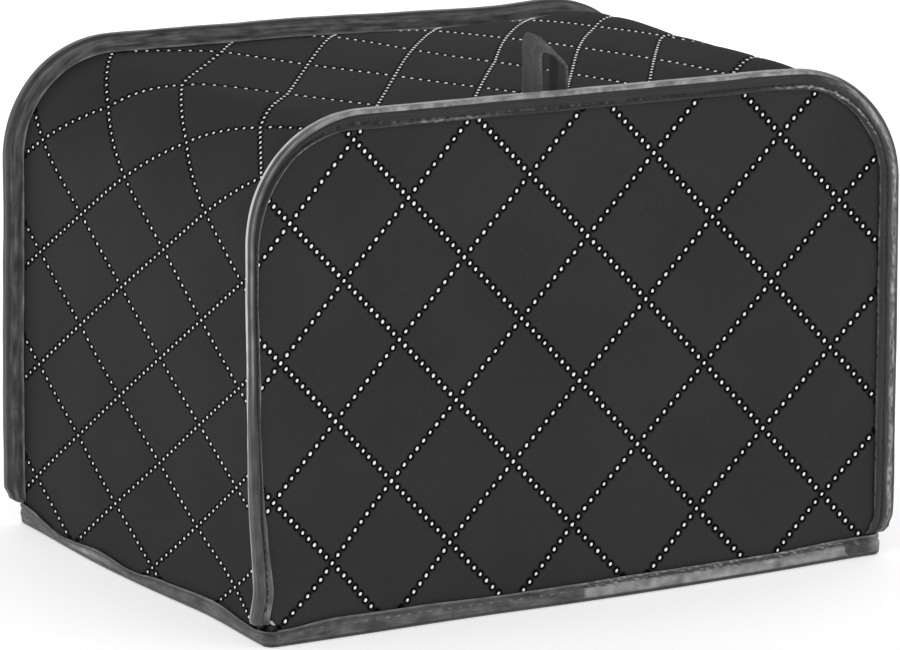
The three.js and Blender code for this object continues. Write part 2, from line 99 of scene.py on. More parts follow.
# Where the quilting lies on each cloth: places by across and down on a panel
panel_quilt = [
    {"across": 0, "down": 0, "x": -104.2, "z": 197.4},
    {"across": 1, "down": 0, "x": 26.0, "z": 3.08},
    {"across": 0, "down": 1, "x": -2.62, "z": -27.57},
    {"across": 2, "down": 0, "x": 0.33, "z": -0.12},
    {"across": 1, "down": 1, "x": 0.03, "z": -0.36},
    {"across": 0, "down": 2, "x": 0.09, "z": -0.05},
]
# On the gusset u, or p + q + 1, counts towards the front, and v, or p - q, down the left side. A
# row is a value of v, the place along the strip at the middle u and its step per u, the place
# behind the front face with its step and its bend, and the half sizes of a stitch.
middle_u = 3
gusset_quilt = [
    (6, 9.4, 3.5, 98.6, -34.9, 1.13, 0.56, 0.65),
    (2, 98.0, 0, 91.6, -35.1, 1.13, 0.56, 0.65),
    (-2, 187.6, -2.0, 87.3, -36.3, 1.13, 0.56, 0.65),
    (-3, 209.6, -5.4, 93, -44.2, 0, 0.66, 0.7),
    (-4, 239.9, -12.1, 92.8, -53.2, 0, 0.75, 0.66),
    (-6, 297.2, -12.4, 107, -51.4, 0, 0.75, 0.66),
    (-8, 345.9, -11, 109.4, -46.7, 0, 0.75, 0.66),
    (-12, 430.1, -11.5, 115, -45.5, 0, 0.75, 0.66),
    (-16, 540, -3, 92, -38, 0, 0.64, 0.7),
    (-21, 664, -0.7, 92.2, -37.7, 0, 0.62, 0.7),
]

# The quilting's stitches and cells, how far seams press it flat, and the spans of its lines
stitches_a_side = 10
cells_a_side = 16
pressed = {"flat": 5, "rising": 20}
spare_cloth = {"along": 6, "across": 8}
panel_lines = {"p": (-3.5, 10.5), "q": (-6.5, 7.5)}
gusset_lines = {"p": (-12, 6.5), "q": (-5, 13.5)}
bead = {"lift": 0.12, "half_thick": 0.36, "panel_sizes": (0.63, 0.86), "panel_tilt": 62, "gusset_tilt": 20}

# The front binding by the distance along the arch: how wide its leg is, where its seam runs, how light its
# leg is, with a painted sheen low on the left, and the painted highlight on its edge, bright on the left
# and top and dark on the right
front_leg = [(0, 6.9), (20, 6.4), (45, 5.2), (80, 3.7), (150, 3.3), (190, 4.8), (230, 7.8), (420, 8.0),
             (470, 9.6), (520, 10.4), (650, 10.4)]
front_seam = [(0, 4.2), (60, 3.4), (100, 2.6), (170, 2.4), (215, 4.8), (240, 6.1), (650, 6.3)]
front_leg_tone_and_sheen = [(0, 0.14), (45, 0.1), (75, 0.07), (105, 0.03), (180, 0.01), (230, 0.012), (430, 0.012),
                  (480, 0.05), (650, 0.06)]
front_web_painted_light = [(0, 0.8), (60, 0.8), (100, 1.0), (130, 1.3), (180, 1.3), (215, 0.6), (240, 0.5),
                  (425, 0.5), (448, 0.1), (650, 0.06)]

# How fine the tapes are, and the stitches of their seams by half sizes across, along and out
flange_columns = {"front": 680, "back": 380}
hem_step = 1.3
seams = {
    "front": {"step": 3.2, "sizes": (0.22, 1.1, 0.16), "seed": 21},
    "hem": {"step": 4.7, "sizes": (0.36, 1.4, 0.3), "seed": 23},
}


def smooth(t):
    """Eases from 0 to 1"""
    c = min(1.0, max(0.0, t))
    return c * c * (3 - 2 * c)


def rise(at, start, over):
    """0 up to the start, and 1 once that much more has passed"""
    return smooth((at - start) / over)


def between(rows, at):
    """Reads a table of (place, value) rows, easing from row to row"""
    k = 0
    while k < len(rows) - 2 and at > rows[k + 1][0]:
        k += 1
    low, high = rows[k], rows[k + 1]
    return low[1] + (high[1] - low[1]) * smooth((at - low[0]) / (high[0] - low[0]))


def between_straight(stops, values, at):
    """Reads a table of places and values on straight lines"""
    k = 0
    while k < len(stops) - 2 and at > stops[k + 1]:
        k += 1
    share = (at - stops[k]) / (stops[k + 1] - stops[k])
    return values[k] + (values[k + 1] - values[k]) * share


def bump(distance, span):
    """1 at no distance, easing to 0 at the span"""
    t = min(1.0, abs(distance) / span)
    return (1 - t * t) ** 2


def settle(x, y, z):
    """Takes a point of the true box to where the standing cloth has it"""
    point = Vector((x + centre_x, y, z))
    for s in slumps:
        share = bump(x - s["x"], s["span_x"]) * bump(y - s["y"], s["span_y"])
        share *= bump(z - s["z"], s["span_z"])
        point[s["way"]] += s["by"] * share
    return point


# The arch that the gusset follows: up the left side, over the top and down the right side
arch = {
    "radius": flange["corner"] - flange["reach"],
    "side": cover["height"] - flange["corner"],
    "half_top": cover["width"] / 2 - flange["corner"],
}
arch["bend"] = arch["radius"] * math.pi / 2
arch["length"] = 2 * (arch["side"] + arch["bend"] + arch["half_top"])


def arch_point(along, out):
    """Place across and up of a point of the arch, so far out from it"""
    half = arch["half_top"]
    right = along > arch["length"] / 2
    s = arch["length"] - along if right else along
    if s < arch["side"]:
        x, z = -half - arch["radius"] - out, s
    elif s < arch["side"] + arch["bend"]:
        turn = (s - arch["side"]) / arch["radius"]
        reach = arch["radius"] + out
        x, z = -half - reach * math.cos(turn), arch["side"] + reach * math.sin(turn)
    else:
        x, z = -half + s - arch["side"] - arch["bend"], arch["side"] + arch["radius"] + out
    return (-x if right else x), z


def outside_arch(x, z):
    """How far outside the arch a place lies, less than 0 inside it"""
    dx = abs(x) - arch["half_top"]
    dz = z - arch["side"]
    if dx > 0 and dz > 0:
        return math.hypot(dx, dz) - arch["radius"]
    return max(dx, dz) - arch["radius"]


def flange_reach(along, facing):
    """How far the flange stands out, less at its feet"""
    above = max(0.0, min(along, arch["length"] - along) - foot["start"])
    if facing > 0 and along < arch["length"] / 2:
        return between([(0, 7.2), (2, 8), (7.2, 8)], above)
    return between([(0, 3.4), (2, 6.0), (7.2, 8)], above)


def pillow(p, q):
    """Height of the wadding inside a diamond, 0 on its lines and 1 in its middle"""
    a = p - math.floor(p)
    b = q - math.floor(q)
    return 4 * math.sqrt(a * (1 - a) * b * (1 - b))


def fade(distance):
    """Lets the pillows rise again beyond the cloth that a seam presses flat"""
    return rise(distance, pressed["flat"], pressed["rising"])


def panel_place(p, q):
    """Flat place of a point of the quilting, where p and q count the lines of each slant"""
    across, down = p + q, p - q
    x = sum(row["x"] * across ** row["across"] * down ** row["down"] for row in panel_quilt)
    z = sum(row["z"] * across ** row["across"] * down ** row["down"] for row in panel_quilt)
    return x, z


def gusset_row(v):
    """The row of the gusset's quilting at v, read between its neighbours"""
    k = 0
    while k < len(gusset_quilt) - 2 and v < gusset_quilt[k + 1][0]:
        k += 1
    upper, lower = gusset_quilt[k], gusset_quilt[k + 1]
    share = (upper[0] - v) / (upper[0] - lower[0])
    return [a + (b - a) * share for a, b in zip(upper, lower)]


def gusset_place(p, q):
    """Place along the gusset and behind the front face of a point of its quilting"""
    _, along, along_step, behind, behind_step, bend, _, _ = gusset_row(p - q)
    steps = p + q + 1 - middle_u
    return along + along_step * steps, behind + behind_step * steps + bend * steps * steps


def gusset_swell(along, behind):
    """How far the gusset stands out between its seams"""
    half = cover["depth"] / 2 - swell["clear"]
    t = abs(behind - cover["depth"] / 2) / half
    return 0 if t >= 1 else between(swells, along) * (1 - t ** swell["sharpness"])


# Colours and materials
def paint(code):
    """An sRGB hex code as a linear colour"""
    parts = [int(code[k:k + 2], 16) / 255 for k in (0, 2, 4)]
    linear = [c / 12.92 if c <= 0.04045 else ((c + 0.055) / 1.055) ** 2.4 for c in parts]
    return (*linear, 1.0)


def add_node(tree, kind, inputs=None, **settings):
    """Adds a node with its settings, linking the inputs that are sockets"""
    node = tree.nodes.new(kind)
    for name, value in settings.items():
        setattr(node, name, value)
    for key, value in (inputs or {}).items():
        if isinstance(value, bpy.types.NodeSocket):
            tree.links.new(value, node.inputs[key])
        else:
            node.inputs[key].default_value = value
    return node


def maths(tree, operation, first, second=0.0, third=0.0):
    node = add_node(tree, "ShaderNodeMath", {0: first, 1: second, 2: third}, operation=operation)
    return node.outputs[0]


def eased(tree, value, low, high, start=0.0, end=1.0):
    inputs = {"Value": value, "From Min": low, "From Max": high, "To Min": start, "To Max": end}
    return add_node(tree, "ShaderNodeMapRange", inputs, interpolation_type="SMOOTHSTEP").outputs[0]


def blend_colour(tree, share, first, second):
    inputs = {0: share, 6: first, 7: second}
    return add_node(tree, "ShaderNodeMix", inputs, data_type="RGBA").outputs[2]


def new_material(name, roughness, specular):
    material = bpy.data.materials.new(name)
    material.use_nodes = True
    shader = material.node_tree.nodes["Principled BSDF"]
    shader.inputs["Roughness"].default_value = roughness
    shader.inputs["Specular IOR Level"].default_value = specular
    return material, material.node_tree, shader


def noise_node(tree, vector, scale, detail):
    return add_node(tree, "ShaderNodeTexNoise", {"Vector": vector, "Scale": scale, "Detail": detail})


def bumped(tree, shader, height, strength=1.0, distance=1.0):
    """Lets a height shape the surface"""
    inputs = {"Height": height, "Strength": strength, "Distance": distance}
    surface = add_node(tree, "ShaderNodeBump", inputs)
    tree.links.new(surface.outputs[0], shader.inputs["Normal"])


def quilted_material():
    """Black brushed polyester from the quilting's own UV, with painted shade along its lines and in a dark
    ring round the pit of every stitch
    """
    material, tree, shader = new_material("black_quilted_polyester", roughness=0.95, specular=0.04)
    uv = add_node(tree, "ShaderNodeUVMap", uv_map="quilt")
    split = add_node(tree, "ShaderNodeSeparateXYZ", {0: uv.outputs[0]})
    p, q = split.outputs[0], split.outputs[1]

    def off_whole(value):
        return maths(tree, "SUBTRACT", value, maths(tree, "ROUND", value))

    def from_stitch(line, run):
        step = maths(tree, "DIVIDE", off_whole(maths(tree, "MULTIPLY", run, stitches_a_side)),
                     stitches_a_side)
        both = add_node(tree, "ShaderNodeCombineXYZ", {0: off_whole(line), 1: step})
        length = add_node(tree, "ShaderNodeVectorMath", {0: both.outputs[0]}, operation="LENGTH")
        return length.outputs["Value"]

    distance = maths(tree, "MINIMUM", from_stitch(p, q), from_stitch(q, p))
    line = maths(tree, "MINIMUM", maths(tree, "ABSOLUTE", off_whole(p)),
                 maths(tree, "ABSOLUTE", off_whole(q)))
    pit_and_shade = eased(tree, distance, 0.032, 0.055, 1.0, 0.0)
    groove = eased(tree, line, 0.0, 0.05, 1.0, 0.0)

    place = add_node(tree, "ShaderNodeTexCoord")
    blotches = noise_node(tree, place.outputs["Object"], 22.0, 3.0)
    nap = noise_node(tree, place.outputs["Object"], 900.0, 2.0)
    tone = eased(tree, blotches.outputs["Fac"], 0.3, 0.7)
    base = blend_colour(tree, tone, paint("2f2f2f"), paint("333333"))
    base = blend_colour(tree, eased(tree, nap.outputs["Fac"], 0.25, 0.75, 0.0, 0.35), base, paint("3a3a3b"))
    # Painted shade: darker along the quilting lines' grooves, and nearly black in a ring round every
    # stitch's pit
    base = blend_colour(tree, maths(tree, "MULTIPLY", groove, 0.3), base, paint("1c1c1c"))
    base = blend_colour(tree, maths(tree, "MULTIPLY", pit_and_shade, 0.93), base, paint("050505"))
    tree.links.new(base, shader.inputs["Base Color"])

    inputs = {"Vector": place.outputs["Object"], "Scale": 320.0, "Distortion": 1.5}
    weave = [add_node(tree, "ShaderNodeTexWave", inputs, bands_direction=way) for way in ("X", "Y")]
    threads = maths(tree, "MULTIPLY", weave[0].outputs["Fac"], weave[1].outputs["Fac"])
    height = maths(tree, "MULTIPLY", threads, 0.00004)
    height = maths(tree, "MULTIPLY_ADD", nap.outputs["Fac"], 0.00008, height)
    height = maths(tree, "MULTIPLY_ADD", pit_and_shade, -0.0005, height)
    height = maths(tree, "MULTIPLY_ADD", groove, -0.0004, height)
    bumped(tree, shader, height)
    return material


def satin_material(name, dark, light):
    """Satin bias tape: streaks along the tape, and a tone painted on the piece for its lighter stretches,
    its painted highlights and its painted shade
    """
    material, tree, shader = new_material(name, roughness=0.38, specular=0.26)
    uv = add_node(tree, "ShaderNodeUVMap", uv_map="tape")
    long_way = add_node(tree, "ShaderNodeMapping", {"Vector": uv.outputs[0], "Scale": (0.035, 0.9, 1.0)})
    streaks = noise_node(tree, long_way.outputs[0], 1.0, 4.0)
    mottle_way = add_node(tree, "ShaderNodeMapping", {"Vector": uv.outputs[0], "Scale": (0.12, 0.2, 1.0)})
    mottle = noise_node(tree, mottle_way.outputs[0], 1.0, 3.0)
    tone = add_node(tree, "ShaderNodeAttribute", attribute_name="tone")
    mottled = eased(tree, mottle.outputs["Fac"], 0.3, 0.7, 0.7, 1.3)
    mixed = maths(tree, "MULTIPLY", tone.outputs["Fac"], mottled)
    mixed = maths(tree, "MULTIPLY_ADD", eased(tree, streaks.outputs["Fac"], 0.3, 0.7), 0.02, mixed)
    base = blend_colour(tree, mixed, paint(dark), paint(light))
    tree.links.new(base, shader.inputs["Base Color"])
    ribs = add_node(tree, "ShaderNodeTexWave", {"Vector": uv.outputs[0], "Scale": 1.0, "Distortion": 2.0,
                                                "Detail": 1.0}, bands_direction="X")
    height = maths(tree, "MULTIPLY", streaks.outputs["Fac"], 0.0004)
    height = maths(tree, "MULTIPLY_ADD", mottle.outputs["Fac"], 0.0005, height)
    height = maths(tree, "MULTIPLY_ADD", ribs.outputs["Fac"], 0.00003, height)
    bumped(tree, shader, height, strength=0.8)
    return material


def woven_material():
    """Fuzzy woven tape of the loop"""
    material, tree, shader = new_material("black_woven_tape", roughness=0.95, specular=0.15)
    shader.inputs["Sheen Weight"].default_value = 0.25
    shader.inputs["Sheen Roughness"].default_value = 0.6
    uv = add_node(tree, "ShaderNodeUVMap", uv_map="tape")
    fuzz = add_node(tree, "ShaderNodeTexNoise", {"Vector": uv.outputs[0], "Scale": 1.6, "Detail": 6.0,
                                                 "Roughness": 0.7})
    # The tone attribute holds the loop's painted light and shade
    tone = add_node(tree, "ShaderNodeAttribute", attribute_name="tone")
    fuzzy = eased(tree, fuzz.outputs["Fac"], 0.4, 0.6, 0.1, 1.2)
    speck = maths(tree, "MULTIPLY", fuzzy, tone.outputs["Fac"])
    base = blend_colour(tree, speck, paint("1c1c1c"), paint("6e6e6e"))
    tree.links.new(base, shader.inputs["Base Color"])
    rows = add_node(tree, "ShaderNodeTexWave", {"Vector": uv.outputs[0], "Scale": 0.9, "Distortion": 3.0,
                                                "Detail": 2.0}, bands_direction="DIAGONAL")
    height = maths(tree, "MULTIPLY", fuzz.outputs["Fac"], 0.0006)
    height = maths(tree, "MULTIPLY_ADD", rows.outputs["Fac"], 0.00015, height)
    bumped(tree, shader, height)
    return material


def thread_material(name, code):
    """Spun polyester thread: a soft light on it, broken up by its twist"""
    material, tree, shader = new_material(name, roughness=0.6, specular=0.4)
    place = add_node(tree, "ShaderNodeTexCoord")
    twist = noise_node(tree, place.outputs["Object"], 2200.0, 2.0)
    shaded = tuple(c * 0.6 for c in paint(code)[:3]) + (1.0,)
    base = blend_colour(tree, eased(tree, twist.outputs["Fac"], 0.3, 0.75, 0.0, 0.3), paint(code), shaded)
    tree.links.new(base, shader.inputs["Base Color"])
    bumped(tree, shader, twist.outputs["Fac"], strength=0.4, distance=0.0002)
    return material


# Meshes
def finished(name, bm, material, wall=0.0, side=0.0):
    """A piece at the origin from a mesh in millimetres, given its thickness if it is a sheet"""
    bmesh.ops.scale(bm, vec=(MM, MM, MM), verts=bm.verts)
    for face in bm.faces:
        face.smooth = True
    mesh = bpy.data.meshes.new(name)
    bm.to_mesh(mesh)
    bm.free()
    mesh.materials.append(material)
    piece = bpy.data.objects.new(name, mesh)
    bpy.context.scene.collection.objects.link(piece)
    if wall:
        solid = piece.modifiers.new("thickness", "SOLIDIFY")
        solid.thickness = wall * MM
        solid.offset = side
        solid.use_even_offset = True
    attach(piece, "root")
    return piece


def strip_grid(columns, rows, uv_name):
    """A grid whose vertices stand at whole places, columns along and rows across"""
    bm = bmesh.new()
    bmesh.ops.create_grid(bm, x_segments=columns, y_segments=rows, size=0.5)
    uv = bm.loops.layers.uv.new(uv_name)
    for vert in bm.verts:
        vert.co = Vector((round((vert.co.x + 0.5) * columns), round((vert.co.y + 0.5) * rows), 0))
    return bm, uv


def lay_uv(bm, uv, spread):
    """Gives each corner the place of its vertex, along and across the tape"""
    for face in bm.faces:
        for corner in face.loops:
            corner[uv].uv = spread[corner.vert]


def quilted_grid(span_p, span_q, place_of, near):
    """Flat cloth whose edges run along the quilting, with its UV counting the lines"""
    bm, uv = strip_grid(round((span_p[1] - span_p[0]) * cells_a_side),
                        round((span_q[1] - span_q[0]) * cells_a_side), "quilt")
    for vert in bm.verts:
        vert.co.x = span_p[0] + vert.co.x / cells_a_side
        vert.co.y = span_q[0] + vert.co.y / cells_a_side
    for face in bm.faces:
        for corner in face.loops:
            corner[uv].uv = corner.vert.co.xy
    far = []
    for vert in bm.verts:
        a, b = place_of(vert.co.x, vert.co.y)
        vert.co = Vector((a, b, 0))
        if not near(a, b):
            far.append(vert)
    bmesh.ops.delete(bm, geom=far, context="VERTS")
    return bm, uv


def slice_off(bm, point, outward, drop=True):
    """Cuts the flat cloth along a line, and drops what lies beyond it"""
    parts = bm.verts[:] + bm.edges[:] + bm.faces[:]
    bmesh.ops.bisect_plane(bm, geom=parts, dist=0.02, plane_co=(*point, 0), plane_no=(*outward, 0),
                           clear_outer=drop)


def soft_rise(p, q, seed):
    """Low unevenness of the wadding, in millimetres"""
    return 0.35 * noise.noise(Vector((p * 0.7, q * 0.7, seed)))


def panel_surface(a, b, p, q, facing, lift=0.0):
    """A point of a panel. Lift is counted out from the cloth's middle."""
    soft = fade(-outside_arch(a, b)) * fade(b - hem["inside"])
    height = (cloth["puff"] * pillow(p, q) + soft_rise(p, q, 3.0 * facing)) * soft
    out = lift + height
    if facing > 0:
        y = front_face + layers["panel_middle"] - out
    else:
        y = back_face - layers["panel_middle"] + out
    return settle(facing * a, y, b)


def panel_cloth(name, facing, material):
    """Front or back panel, round at its top corners"""
    half = arch["half_top"] + arch["radius"] + cloth_reach
    top = arch["side"] + arch["radius"] + cloth_reach
    spare = spare_cloth["along"]
    bm, uv = quilted_grid(panel_lines["p"], panel_lines["q"], panel_place,
                          lambda a, b: abs(a) < half + spare and -spare < b < top + spare)
    slice_off(bm, (half, 0), (1, 0))
    slice_off(bm, (-half, 0), (-1, 0))
    slice_off(bm, (0, top), (0, 1))
    slice_off(bm, (0, cloth_bottom), (0, -1))
    steps = 14
    for hand in (-1, 1):
        for k in range(steps):
            turn = (k + 0.5) / steps * math.pi / 2
            way = (hand * math.cos(turn), math.sin(turn))
            reach = arch["radius"] + cloth_reach
            slice_off(bm, (hand * arch["half_top"] + way[0] * reach, arch["side"] + way[1] * reach), way)
        inset = arch["half_top"] + arch["radius"] - foot["inset"]
        slice_off(bm, (hand * inset, foot["level"]), (hand, -1))
    for vert in bm.verts:
        p, q = vert.link_loops[0][uv].uv
        vert.co = panel_surface(vert.co.x, vert.co.y, p, q, facing)
    if facing > 0:
        bmesh.ops.reverse_faces(bm, faces=bm.faces[:])
    return finished(name, bm, material, cloth["thick"])


def gusset_surface(a, b, p, q, lift=0.0):
    """A point of the gusset. Past either fold the cloth stands out as the lip of the flange."""
    fold = layers["lip_middle"]
    near_front = b < cover["depth"] / 2
    inside = b - fold if near_front else cover["depth"] - fold - b
    middle = -cloth["thick"] / 2
    if inside <= 0:
        across = fold if near_front else cover["depth"] - fold
        x, z = arch_point(a, middle - inside)
        return settle(x, front_face + across, z)
    soft = fade(inside) * fade(min(a, arch["length"] - a) - hem["inside"])
    height = (cloth["puff"] * pillow(p, q) + soft_rise(p, q, 9.0)) * soft
    x, z = arch_point(a, middle + gusset_swell(a, b) + height + lift)
    return settle(x, front_face + b, z)


def gusset_cloth(name, material):
    """The long strip up the left side, over the top and down the right side, with its two lips"""
    fold = layers["lip_middle"]
    lip_end = fold - cloth_reach - cloth["thick"] / 2
    depth = cover["depth"]
    length = arch["length"]
    spare, wide = spare_cloth["along"], spare_cloth["across"]
    bm, uv = quilted_grid(gusset_lines["p"], gusset_lines["q"], gusset_place,
                          lambda a, b: -spare < a < length + spare
                          and lip_end - wide < b < depth - lip_end + wide)
    slice_off(bm, (cloth_bottom, 0), (-1, 0))
    slice_off(bm, (length - cloth_bottom, 0), (1, 0))
    slice_off(bm, (0, lip_end), (0, -1))
    slice_off(bm, (0, depth - lip_end), (0, 1))
    for line in (fold, fold + 1.2):
        slice_off(bm, (0, line), (0, -1), drop=False)
        slice_off(bm, (0, depth - line), (0, 1), drop=False)
    inset = fold - cloth["thick"] / 2 + foot["inset"]
    slice_off(bm, (foot["level"], inset), (-1, -1))
    slice_off(bm, (length - foot["level"], inset), (1, -1))
    slice_off(bm, (foot["level"], depth - inset), (-1, 1))
    slice_off(bm, (length - foot["level"], depth - inset), (1, 1))
    for vert in bm.verts:
        p, q = vert.link_loops[0][uv].uv
        vert.co = gusset_surface(vert.co.x, vert.co.y, p, q)
    return finished(name, bm, material, cloth["thick"])


def stitch_rows(span_p, span_q):
    """Places of the stitches in the quilting, line by line, with one at each crossing"""
    def whole_steps(span, count):
        return range(math.ceil(span[0] * count), math.floor(span[1] * count) + 1)

    count = stitches_a_side
    for line in whole_steps(span_p, 1):
        yield [(line, k / count) for k in whole_steps(span_q, count)]
    for line in whole_steps(span_q, 1):
        yield [(k / count, line) for k in whole_steps(span_p, count) if k % count]


def knot(bm, centre, long_way, out_way, sizes):
    """One stitch: a small bead of thread pressed into the cloth, sizes being its three half axes"""
    across = out_way.cross(long_way).normalized()
    turned = Matrix((across * sizes[0], long_way * sizes[1], out_way * sizes[2])).transposed().to_4x4()
    turned.translation = centre
    bmesh.ops.create_uvsphere(bm, u_segments=7, v_segments=5, radius=1.0, matrix=turned)


def stitched(name, material, rows, place_of, surface, shows, sizes_of, tilt, seed):
    """All the quilting stitches of one cloth as one piece"""
    chance = random.Random(seed)
    mesh = bpy.data.meshes.new(name + "_rows")
    whole = bmesh.new()
    for row in rows:
        bm = bmesh.new()
        for p, q in row:
            a, b = place_of(p, q)
            if not shows(a, b):
                continue
            step = 0.6
            centre = surface(a, b, p, q, cloth["thick"] / 2 + bead["lift"])
            flat_a = surface(a + step, b, p, q, 0.0) - surface(a - step, b, p, q, 0.0)
            flat_b = surface(a, b + step, p, q, 0.0) - surface(a, b - step, p, q, 0.0)
            flat_a.normalize()
            out_way = surface(a, b, p, q, 1.0) - surface(a, b, p, q, 0.0)
            out_way.normalize()
            flat_b = (flat_b - out_way * flat_b.dot(out_way)).normalized()
            turn = math.radians(tilt + chance.uniform(-9, 9))
            long_way = (flat_a * math.cos(turn) + flat_b * math.sin(turn)).normalized()
            wide, tall = sizes_of(p, q)
            grow = chance.uniform(0.9, 1.1)
            knot(bm, centre, long_way, out_way, (wide * grow, tall * grow, bead["half_thick"]))
        bm.to_mesh(mesh)
        whole.from_mesh(mesh)
        bm.free()
    bpy.data.meshes.remove(mesh)
    return finished(name, whole, material)


def hem_line(step):
    """The hem's middle line: its places, outward ways and the distance round it"""
    half_x = cover["width"] / 2 - flange["reach"] - cloth["thick"] / 2 - hem["corner"]
    half_y = cover["depth"] / 2 - layers["panel_middle"] - hem["corner"]
    centre_y = front_face + cover["depth"] / 2
    places = []
    round_it = 0.0
    sides = [(-half_x, -half_y, 2 * half_x, -90), (half_x, -half_y, 2 * half_y, 0),
             (half_x, half_y, 2 * half_x, 90), (-half_x, half_y, 2 * half_y, 180)]
    for x, y, length, degrees in sides:
        turn = math.radians(degrees)
        out = Vector((math.cos(turn), math.sin(turn)))
        run_way = Vector((-out.y, out.x))
        count = math.ceil(length / step)
        for k in range(count):
            run = length * k / count
            spot = Vector((x, y + centre_y)) + run_way * run + out * hem["corner"]
            places.append((spot, out, round_it + run))
        round_it += length
        end = Vector((x, y + centre_y)) + run_way * length
        corner_steps = 8
        for k in range(corner_steps):
            angle = turn + math.pi / 2 * k / corner_steps
            way = Vector((math.cos(angle), math.sin(angle)))
            places.append((end + way * hem["corner"], way, round_it + hem["corner"] * (angle - turn)))
        round_it += hem["corner"] * math.pi / 2
    return places, round_it


def channel_rows(outer, arcs, web, inner):
    """Rows across a folded tape: (stretch, share of it) from its outer leg to its inner one"""
    rows = [("outer", k / outer) for k in range(outer)]
    rows += [("first", k / arcs) for k in range(arcs)]
    rows += [("web", k / web) for k in range(web)]
    rows += [("second", k / arcs) for k in range(arcs)]
    rows += [("inner", k / inner) for k in range(inner + 1)]
    return rows


def channel_point(stretch, share, low, reach, lift, depth):
    """A point of the folded tape's outer face: (depth behind its outer face, distance out)"""
    fold = tape["fold"]
    turn = share * math.pi / 2
    if stretch == "outer":
        return 0.0, low + (reach - fold - low) * share
    if stretch == "first":
        return fold * (1 - math.cos(turn)), reach - fold + fold * math.sin(turn)
    if stretch == "web":
        return fold + (depth - 2 * fold) * share, reach
    if stretch == "second":
        return depth - fold + fold * math.sin(turn), reach - fold + fold * math.cos(turn)
    return depth, reach - fold - (reach - fold - lift) * share


def wave(a, b=0.0, c=0.0):
    """Smooth unevenness from about -1 to 1"""
    return noise.noise(Vector((a, b, c)))


def arch_zones(along):
    """Shares of the left side, the top and the right side at a place along the arch"""
    left = 1 - rise(along, 190, 40)
    right = rise(along, 430, 30)
    return left, 1 - left - right, right


def front_leg_look(along, inwards, leg):
    """Relief and tone of the front binding's outer leg, by the distance inwards from its fold"""
    left, top, right = arch_zones(along)
    seam = between(front_seam, along) + 0.25 * wave(along / 9, 3)
    groove = bump(inwards - seam, 0.7)
    edge = bump(leg - inwards, 0.8)
    relief = 0.34 * bump(inwards - seam * 0.45, seam * 0.5) - 0.3 * groove
    relief += 0.25 * bump(inwards - (seam + leg) / 2, (leg - seam) * 0.6)
    relief += 0.2 * wave(along / 14, inwards / 1.5) + 0.12 * wave(along / 4, inwards / 2.2, 4)
    tone = between(front_leg_tone_and_sheen, along) * (1 + 0.7 * wave(along / 18, inwards / 0.9, 8))
    # A painted highlight: a light streak down the outer half on the right, and round the right corner
    streak = 3.0 + 1.2 * wave(along / 17, 5)
    patchy = 0.55 + 0.9 * wave(along / 9, inwards / 1.2, 12) + 0.9 * wave(along / 2, inwards / 0.8, 15)
    tone += right * 0.5 * bump(inwards - streak, 1.9) * max(0.0, patchy)
    corner = bump(along - 440, 46)
    rope = 0.9 + 1.6 * rise(along, 436, 22) + 0.5 * wave(along / 3.5, 31)
    tone += 0.5 * corner * bump(inwards - rope, 0.7) * (0.8 + 0.8 * wave(along / 4, 41))
    # The free edge catches the light, as a thin line on the right and fuzzy on the left
    fuzz = max(0.0, 0.6 + 1.5 * wave(along / 1.7, inwards / 0.7, 7))
    dashes = smooth(3 * wave(along / 2.6, 9) + 0.3)
    upper = rise(along, 80, 30)
    tone *= 1 - 0.75 * right * smooth((inwards - seam) / 0.8)
    tone += edge * (right * 0.13 * fuzz + left * (0.14 + 0.22 * upper * fuzz) + top * 0.02)
    tone += groove * top * 0.16 * dashes * (1 - rise(along, 330, 50))
    squiggle = bump(along - 262, 30) + 2.0 * bump(along - 443, 40)
    thread_line = seam + 0.7 + 0.9 * wave(along / 1.6, 2)
    tone += squiggle * 0.42 * bump(inwards - thread_line, 0.7) * (0.4 + 0.8 * dashes)
    # Painted shade in the seam's groove on the right
    tone -= 0.06 * right * bump(inwards - seam, 0.9)
    # Painted highlights in fine lines beside the fold on the left, and painted shade in one crease low down
    tone += left * 0.32 * upper * bump(inwards - 0.9, 0.45)
    tone -= left * 0.03 * upper * bump(inwards - 1.9, 0.5)
    tone -= left * 0.2 * bump(inwards - 3.3, 0.45) * (1 - rise(along, 60, 30))
    tone += 0.25 * bump(along - 15, 4) * bump(inwards - 5.2, 1.6)
    return relief, max(0.0, tone)


